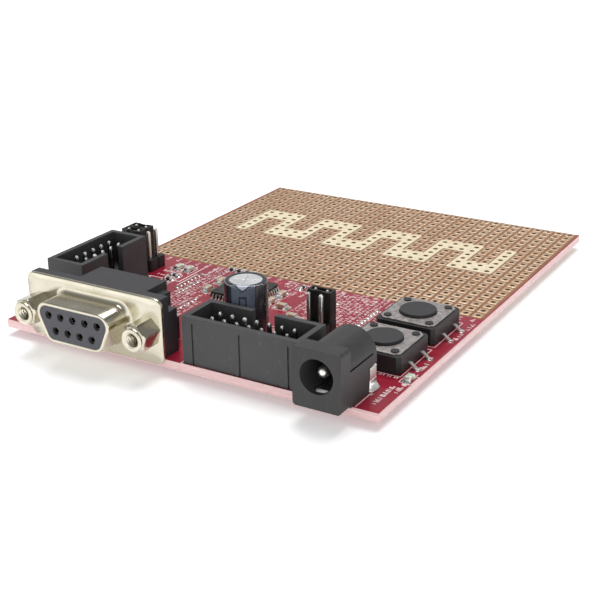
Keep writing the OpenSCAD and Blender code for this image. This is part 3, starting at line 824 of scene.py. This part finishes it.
def capacitor():
    """The can, and its sleeve with a crimp at the foot, a stripe and plain marks."""
    low, high = (on_board(p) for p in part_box("capacitor_sleeve"))
    centre, outer, _ = footprint(low, high)
    foot, top = low.z, high.z
    lip, film, crimp = 3.0, 0.12, 0.22
    profile = [(outer - film, foot + 0.1), (outer - 0.05, foot), (outer, foot + 0.2)]
    profile += [(outer, foot + 1.1), (outer - crimp, foot + 1.5)]
    profile += [(outer - crimp, foot + 1.8), (outer, foot + 2.2)]
    profile += arc((outer - SLEEVE_BEND, top - SLEEVE_BEND), SLEEVE_BEND, 0, 90, 6)
    profile += [(lip + 0.06, top - 0.01), (lip, top - 0.06), (lip, top - film)]
    profile += [(outer - 0.5, top - film), (outer - film, top - 0.5)]
    sleeve = Solid()
    lathe(sleeve, profile, 96, centre, closed=True)
    sleeve.piece("capacitor_sleeve_shrunk", "sleeve_film", replaces=["capacitor_sleeve"])
    rounded("capacitor_can", 0.03)
    stripe_middle, stripe_half, stripe_top = -66, 31.5, top + 0.62
    arch_foot, arch_top, arch_reach, arch_w, stroke = 7.6, 10.05, 10.3, 1.8, 0.35
    stripe, marks, arrow = Solid(), Solid(), Solid()

    def wrapped(solid, start, end, bottom, upper, proud):
        """A thin plate that follows the sleeve between two angles, and up and over its shoulder."""
        shoulder = max(bottom, min(upper, top - SLEEVE_BEND))
        heights = [bottom] + [shoulder + (upper - shoulder) * i / 16 for i in range(17)]
        outline = [sleeve_place(outer, top, height, proud) for height in heights]
        outline += [sleeve_place(outer, top, height, -0.03) for height in reversed(heights)]
        turns = [math.radians(start + (end - start) * i / 12) for i in range(13)]
        solid.skin([[(*around(centre, r, turn), z) for r, z in outline] for turn in turns])

    wrapped(stripe, stripe_middle - stripe_half, stripe_middle + stripe_half, foot + 2.3, stripe_top, 0.01)
    stripe.piece("capacitor_stripe", "film_stripe")
    for step in range(-9, 9):
        turn = stripe_middle + 2.4 * step
        rise = top - 1.1 + 0.13 * abs(step + 0.5)
        wrapped(marks, turn, turn + 2.5, rise, rise + 0.3, 0.02)
        wrapped(arrow, turn, turn + 2.5, rise + 0.25, stripe_top + 0.02, 0.018)
    for side in (-1, 1):
        turn = stripe_middle + side * (arch_reach - arch_w)
        wrapped(marks, turn - arch_w, turn + arch_w, arch_foot, arch_top - 0.25, 0.02)
    wrapped(marks, stripe_middle - arch_reach, stripe_middle + arch_reach, arch_top - stroke, arch_top, 0.022)
    marks.piece("capacitor_stripe_marks", "film_marks")
    arrow.piece("capacitor_stripe_arrow", "film_arrow")


def sleeve_place(outer, top, height, proud):
    """(radius, z) of a place that is height millimetres along the sleeve's outline, up from the board."""
    past = height - (top - SLEEVE_BEND)
    if past <= 0:
        return outer + proud, height
    turn = min(past / SLEEVE_BEND, math.pi / 2)
    inward = past - SLEEVE_BEND * turn
    reach = SLEEVE_BEND + proud
    return outer - SLEEVE_BEND + reach * math.cos(turn) - inward, top - SLEEVE_BEND + reach * math.sin(turn)


# ---------------------------------------------------------------- chips and small parts

def chips():
    """Every part that lies flat on the board."""
    for name in ("mcu", "driver", "regulator", "diode"):
        rounded(name + "_body", 0.12)
    rounded("crystal_can", 0.15, 3)
    rounded("crystal_base", 0.06)
    small_parts("chip_resistors", 0.35, "resistor_black")
    small_parts("chip_capacitors", 0.45, "capacitor_tan")
    small_parts("status_leds", 0.4, "led_lens")


def small_parts(node, cap, finish):
    """Chip parts: a body between two metal ends, each on a pad with a solder fillet."""
    bodies, ends, joints = Solid(), Solid(), Solid()
    for low, high in islands(node):
        centre = Vector(((low.x + high.x) / 2, (low.y + high.y) / 2))
        size = ((high.x - low.x) / 2, (high.y - low.y) / 2)
        along = 0 if size[0] > size[1] else 1
        half_l, half_w = size[along], size[1 - along]

        def outline(shift, half_long, half_across, clip):
            """A clipped rectangle, moved by shift along the part."""
            place = [centre[0], centre[1]]
            place[along] += shift
            halves = [half_across, half_across]
            halves[along] = half_long
            return clipped(halves[0], halves[1], clip, place)

        levels = ((0.05, low.z), (0, low.z + 0.05), (0, high.z - 0.07), (0.07, high.z - 0.02))
        bodies.skin([flat_ring(outline(0, half_l - cap - d, half_w - 0.04 - d, 0.03), z) for d, z in levels])
        for side in (-1, 1):
            shift = side * (half_l - cap / 2)
            levels = ((0.05, low.z), (0, low.z + 0.06), (0, high.z - 0.06), (0.06, high.z))
            ends.skin([flat_ring(outline(shift, cap / 2 - d + 0.02, half_w - d, 0.06), z) for d, z in levels])
            shift = side * (half_l + 0.05)
            rings = []
            for rise, spread in ((0, 0.45), (0.05, 0.42), (0.3, 0.2), (0.55, 0.06), (0.75, 0)):
                z = low.z - 0.05 + rise * (high.z - low.z)
                rings.append(flat_ring(outline(shift, 0.12 + spread, half_w - 0.04 + spread * 0.35, 0.08), z))
            joints.skin(rings)
    bodies.piece(node + "_bodies", finish, replaces=[node])
    ends.piece(node + "_ends", "tinned_metal")
    joints.piece(node + "_solder", "solder", sharp=60)


# ---------------------------------------------------------------- prototyping field

def pad_outline(half, corner):
    """Sixteen points round a square pad, in step with the sixteen round a hole."""
    reach = half - corner
    points = []
    for quarter in range(4):
        mid = math.radians(45 + 90 * quarter)
        cx, cy = math.copysign(reach, math.cos(mid)), math.copysign(reach, math.sin(mid))
        points += arc((cx, cy), corner, 90 * quarter, 90 * quarter + 90, 3)
    return points


def hole_outline(radius):
    """Sixteen points round a hole."""
    start, between, count = 11.25, 22.5, 16
    return arc((0, 0), radius, start, start + between * (count - 1), count - 1)


def field_places():
    """The column, row and board place of each hole."""
    for column in range(FIELD_COLS):
        for row in range(FIELD_ROWS):
            y = FIELD_LAST_Y - (FIELD_ROWS - 1 - row) * PITCH
            yield column, row, FIELD_FIRST_X + column * PITCH, y


def prototyping_field():
    """A pad on each face and a plated barrel between them, for every hole."""
    half, corner, hole_r, wall = 1.0, 0.22, 0.5, 0.03
    top, bottom = 0.05, -board_t - 0.05
    face = [
        (pad_outline(half, corner), 0), (pad_outline(half - 0.02, corner), top * 0.7),
        (pad_outline(half - 0.1, corner), top), (pad_outline(0.75, 0.45), top * 1.3),
        (hole_outline(hole_r + 0.12), top * 1.7), (hole_outline(hole_r), top * 1.2),
    ]
    barrel_r = hole_r - wall
    pads, barrels = Solid(), Solid()
    for _, _, x, y in field_places():
        upper = [[(x + a, y + b, z) for a, b in outline] for outline, z in face]
        lower = [[(x + a, y + b, -board_t - z) for a, b in outline] for outline, z in face]
        pads.skin(upper, caps=False)
        pads.skin(lower[::-1], caps=False)
        tube = [
            (hole_r, top * 1.2), (barrel_r, top * 0.6),
            (barrel_r, bottom + top * 0.4), (hole_r, bottom - top * 0.2),
        ]
        barrels.skin([[(x + a, y + b, z) for a, b in hole_outline(r)] for r, z in tube], caps=False)
    pads.piece("field_pads", "pad_copper", sharp=70)
    barrels.piece("field_barrels", "barrel_copper", sharp=70)
    field_gaps()
    wave_print()


def field_gaps():
    """Strips of dull mask between the pads, on both faces of the board."""
    strips = Solid()
    gap, thick = 0.62, 0.02
    left, right = FIELD_FIRST_X - PITCH / 2, FIELD_FIRST_X + (FIELD_COLS - 0.5) * PITCH
    for column in range(FIELD_COLS + 1):
        x = left + column * PITCH
        ribbon(strips, [(x, FIELD_FRONT_Y), (x, FIELD_LAST_Y + PITCH / 2 - 0.1)], gap, thick)
    for row in range(FIELD_ROWS + 1):
        y = min(FIELD_FRONT_Y + row * PITCH, board_d - gap / 2 - 0.05)
        ribbon(strips, [(left, y), (right, y)], gap, 0.8 * thick)
    under = [(x, y, -board_t - z) for x, y, z in strips.points]
    count = len(strips.points)
    strips.points += under
    strips.faces += [tuple(count + i for i in reversed(face)) for face in strips.faces]
    strips.piece("field_gaps", "field_mask")


def wave_print():
    """A printed square wave across the field, in squares that leave the holes open."""
    first, last, low_row, high_row = 3, 27, 9, 14
    stroke, period = 2, 6
    cells = set()
    for column in range(first, last + 1):
        phase = (column - first) % period
        flat_row = high_row - stroke + 1 if phase < period / 2 else low_row
        cells |= {(column, row) for row in range(flat_row, flat_row + stroke)}
        if phase in (0, period // 2):
            cells |= {(column, row) for row in range(low_row, high_row + 1)}
    half, low, high = PITCH / 2 + 0.02, 0.0, 0.105
    print_cells = Solid()
    for column, row, x, y in field_places():
        if (column, row) in cells:
            rings = [
                (pad_outline(half, 0.05), low), (pad_outline(half, 0.05), high - 0.04),
                (pad_outline(half - 0.06, 0.1), high), (hole_outline(0.64), high + 0.005),
                (hole_outline(0.6), 0.07),
            ]
            print_cells.skin([[(x + a, y + b, z) for a, b in outline] for outline, z in rings], caps=False)
    print_cells.piece("wave_print", "silkscreen", sharp=40)


# ---------------------------------------------------------------- tracks, vias and print

def ribbon(solid, points, width, height):
    """A flat strip of even width along a line on the board."""
    rings = []
    for i, (x, y) in enumerate(points):
        before = Vector(points[max(i - 1, 0)])
        after = Vector(points[min(i + 1, len(points) - 1)])
        here = Vector((x, y))
        ahead = (after - here).normalized() if i < len(points) - 1 else (here - before).normalized()
        behind = (here - before).normalized() if i else ahead
        side = Vector((-(ahead + behind).y, (ahead + behind).x)).normalized()
        reach = width / 2 / max(0.4, side.dot(Vector((-ahead.y, ahead.x))))
        left, right = here + side * reach, here - side * reach
        slope = side * min(0.04, width / 6)
        rings.append([
            (left.x, left.y, 0), (left.x - slope.x, left.y - slope.y, height),
            (right.x + slope.x, right.y + slope.y, height), (right.x, right.y, 0),
        ])
    solid.skin(rings)


def tracks_and_print():
    """What lies flat on the board's top in front of the field."""
    tracks, vias, ink, pads = Solid(), Solid(), Solid(), Solid()
    fan_out(tracks, vias)
    tracks.piece("board_tracks", "trace_mask")
    vias.piece("board_vias", "trace_mask")
    part_outlines(ink)
    tick_rows(ink)
    ink.piece("board_print", "white_ink")
    test_pads(pads)
    pads.piece("test_pads", "solder", sharp=60)


def via(solid, x, y):
    """A small plated hole, with a dimple in its middle."""
    profile = [(0.34, 0), (0.3, MASK_T), (0.18, MASK_T + 0.01), (0.14, 0.01)]
    lathe(solid, profile, 12, (x, y))


def fan_out(tracks, vias):
    """Tracks that spread from each side of the microcontroller to two staggered rows of vias."""
    centre = on_board(middle("mcu_body"))
    leads, step, spread, start, width = 11, 0.8, 1.15, 6.2, 0.25
    for quarter in range(4):
        along = Vector((math.cos(quarter * math.pi / 2), math.sin(quarter * math.pi / 2)))
        across = Vector((-along.y, along.x))
        for lead in range(leads):
            off = lead - (leads - 1) / 2
            end = 8.2 + 0.9 * (lead % 2) + 0.08 * abs(off)
            bend = max(start + 0.1, end - 0.6 - abs(off) * (spread - step))
            path = [(start, off * step), (bend, off * step), (end - 0.5, off * spread), (end, off * spread)]
            points = [tuple(centre.xy + along * u + across * v) for u, v in path]
            ribbon(tracks, points, width, MASK_T)
            via(vias, *points[-1])


def outline_box(ink, low, high, gap=0.35, width=0.18):
    """A closed printed line round a box."""
    x0, y0, x1, y1 = low[0] - gap, low[1] - gap, high[0] + gap, high[1] + gap
    corners = [(x0, y0), (x1, y0), (x1, y1), (x0, y1)]
    for i in range(4):
        ribbon(ink, [corners[i], corners[(i + 1) % 4]], width, MASK_T)


def part_outlines(ink):
    """Printed outlines round the larger parts and the chip parts, and two plain corner lines."""
    big = ("short_header_shroud", "long_header_shroud", "switch_1_base", "switch_2_base", "driver_body")
    for node in big:
        low, high = (on_board(p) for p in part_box(node))
        outline_box(ink, low, high)
    for low, high in small_boxes():
        outline_box(ink, low, high, 0.55, 0.15)
    low, high = (on_board(p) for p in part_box("power_housing"))
    gap, thin, wide = 0.35, 0.18, 0.25
    right, back = high.x + gap, high.y + gap
    ribbon(ink, [(right, 0.3), (right, back), (low.x - gap, back)], thin, MASK_T)
    ribbon(ink, [(9.6, 32.2), (17.2, 32.2), (17.2, 42.6)], wide, MASK_T)
    ribbon(ink, [(18, 30.3), (18, 37.6)], wide, MASK_T)


def small_boxes():
    """The box of each chip part."""
    for node in ("chip_resistors", "chip_capacitors", "status_leds"):
        yield from islands(node)


def tick_row(ink, start, turn, length, height=0.95):
    """A printed row of plain strokes, of uneven weight and spacing, in place of a label."""
    along = Vector((math.cos(math.radians(turn)), math.sin(math.radians(turn))))
    across = Vector((-along.y, along.x))
    travel = 0.0
    while travel < length:
        foot = Vector(start) + along * travel
        tall = height * dice.choice((1, 1, 0.7, 0.45))
        ribbon(ink, [tuple(foot), tuple(foot + across * tall)], dice.choice((0.16, 0.16, 0.3)), MASK_T)
        travel += dice.choice((0.38, 0.48, 0.48, 0.8))


def tick_rows(ink):
    """Rows of strokes beside the parts, along the right-hand edge and in front of the field."""
    edge_rows = [(78.1, 2.8, 7.8), (79.4, 8.1, 3.8), (79.3, 18, 2.9), (79.3, 32.7, 3.3), (79.5, 37.8, 3.8)]
    for x, y, length in edge_rows:
        tick_row(ink, (x, y), 90, length)
    tick_row(ink, (73.3, 13.0), 0, 3.7)
    for low, high in small_boxes():
        tick_row(ink, (low.x - 0.3, high.y + 0.7), 0, 1.7, 0.8)
    parts = list(small_boxes())
    for node in ("mcu_leads", "driver_leads", "regulator_leads", "capacitor_sleeve", "boot_header_base"):
        parts.append([on_board(p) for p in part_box(node)])
    for column in range(FIELD_COLS):
        x = FIELD_FIRST_X + column * PITCH + 0.4
        if free(parts, x, 42.8, 1.2):
            tick_row(ink, (x, 41.9), 90, 1.7, 0.8)
    for left, right, front, back in ((20.2, 28, 17, 41), (28.5, 46, 37, 41), (46, 67.4, 17, 42.2)):
        busy_rows(ink, parts, left, right, front, back)
    for row in range(4):
        tick_row(ink, (10.6, 33.6 + 2.1 * row), 0, 4.6)


def free(parts, x, y, room):
    """True where no part's box lies within room millimetres."""
    return not any(
        low.x - room < x < high.x + room and low.y - room < y < high.y + room for low, high in parts
    )


def busy_rows(ink, parts, left, right, front, back):
    """Close columns of short rows, which fill an area between the parts."""
    column_gap, room, height = 0.95, 0.6, 0.72
    x = left
    while x < right:
        y = front + dice.uniform(0, 1.5)
        while y < back:
            length = dice.uniform(1.2, 3.4)
            if free(parts, x, y, room) and free(parts, x, y + length, room):
                tick_row(ink, (x, y), 90, length, height)
            y += length + dice.uniform(0.2, 0.8)
        x += column_gap


def test_pads(pads):
    """Rows of small tinned pads."""
    step, half_x, half_y, height = PITCH / 2, 0.42, 0.36, 0.12
    columns = ((18.9, 29.2, 8), (20.7, 27.4, 6), (25.8, 20.8, 5), (60.4, 30, 7), (64.2, 26, 9), (51.8, 31, 6))
    for x, y, count in columns:
        for i in range(count):
            solder_pad(pads, (x, y + step * i), half_x, half_y, height)


# ---------------------------------------------------------------- stage

def make_camera():
    """The photograph's view: from the front right, low over the connectors."""
    target = at(44.28, 35.59)
    azimuth, elevation, roll = math.radians(30.94), math.radians(22.09), math.radians(-0.75)
    distance = 233.7 * MM
    level = math.cos(elevation)
    back = Vector((math.sin(azimuth) * level, -math.cos(azimuth) * level, math.sin(elevation)))
    data = bpy.data.cameras.new("camera")
    data.lens, data.sensor_width = 70.7, 36
    data.clip_start, data.clip_end = 0.01, 10
    camera = bpy.data.objects.new("camera", data)
    camera.rotation_mode = "QUATERNION"
    camera.location = target + back * distance
    camera.rotation_quaternion = (-back).to_track_quat("-Z", "Y") @ Quaternion((0, 0, 1), roll)
    show(camera)
    bpy.context.scene.camera = camera


def softbox(name, place, size, power):
    """A square lamp that faces the middle of the board."""
    data = bpy.data.lights.new(name, "AREA")
    data.size, data.energy = size, power
    lamp = bpy.data.objects.new(name, data)
    lamp.location = place
    lamp.rotation_mode = "QUATERNION"
    lamp.rotation_quaternion = (at(board_w / 2, board_d / 2) - lamp.location).to_track_quat("-Z", "Y")
    show(lamp)


def make_stage():
    """A pale floor that glows a little, one large soft lamp and a bright sky."""
    floor_half = 2.0
    mesh = bpy.data.meshes.new("floor")
    corners = [(-1, -1), (1, -1), (1, 1), (-1, 1)]
    mesh.from_pydata([(x * floor_half, y * floor_half, cad_low.z) for x, y in corners], [], [(0, 1, 2, 3)])
    floor = bpy.data.objects.new("floor", mesh)
    show(floor)
    paper = Look("floor_paper", roughness=0.9, Emission_Color=(1, 1, 1, 1), Emission_Strength=0.3)
    paper.paint(paper.blend(paper.noise(0.02, 2), (0.96, 0.96, 0.96), (0.98, 0.98, 0.98)))
    mesh.materials.append(paper.material)
    make_sky()
    softbox("overhead", (-0.08, 0.2, 0.62), 0.45, 4.0)
    bpy.context.scene.view_settings.view_transform = "Standard"


def make_sky():
    """A soft studio: bright near the horizon on the near side, dimmer overhead and behind the board."""
    world = bpy.data.worlds.new("studio")
    world.use_nodes = True
    nodes, links = world.node_tree.nodes, world.node_tree.links
    direction = nodes.new("ShaderNodeTexCoord").outputs["Generated"]
    split = nodes.new("ShaderNodeSeparateXYZ")
    links.new(direction, split.inputs["Vector"])
    height = nodes.new("ShaderNodeMapRange")
    links.new(split.outputs["Z"], height.inputs["Value"])
    depth = nodes.new("ShaderNodeMapRange")
    links.new(split.outputs["Y"], depth.inputs["Value"])
    for node, values in ((height, (0.15, 0.7, 1.6, 0.35)), (depth, (-0.6, 0.6, 1.0, 0.35))):
        for key, value in zip(("From Min", "From Max", "To Min", "To Max"), values):
            node.inputs[key].default_value = value
    strength = nodes.new("ShaderNodeMath")
    strength.operation = "MULTIPLY"
    links.new(height.outputs["Result"], strength.inputs[0])
    links.new(depth.outputs["Result"], strength.inputs[1])
    links.new(strength.outputs["Value"], nodes["Background"].inputs["Strength"])
    nodes["Background"].inputs["Color"].default_value = (1, 1, 1, 1)
    bpy.context.scene.world = world


make_camera()
make_stage()
main()
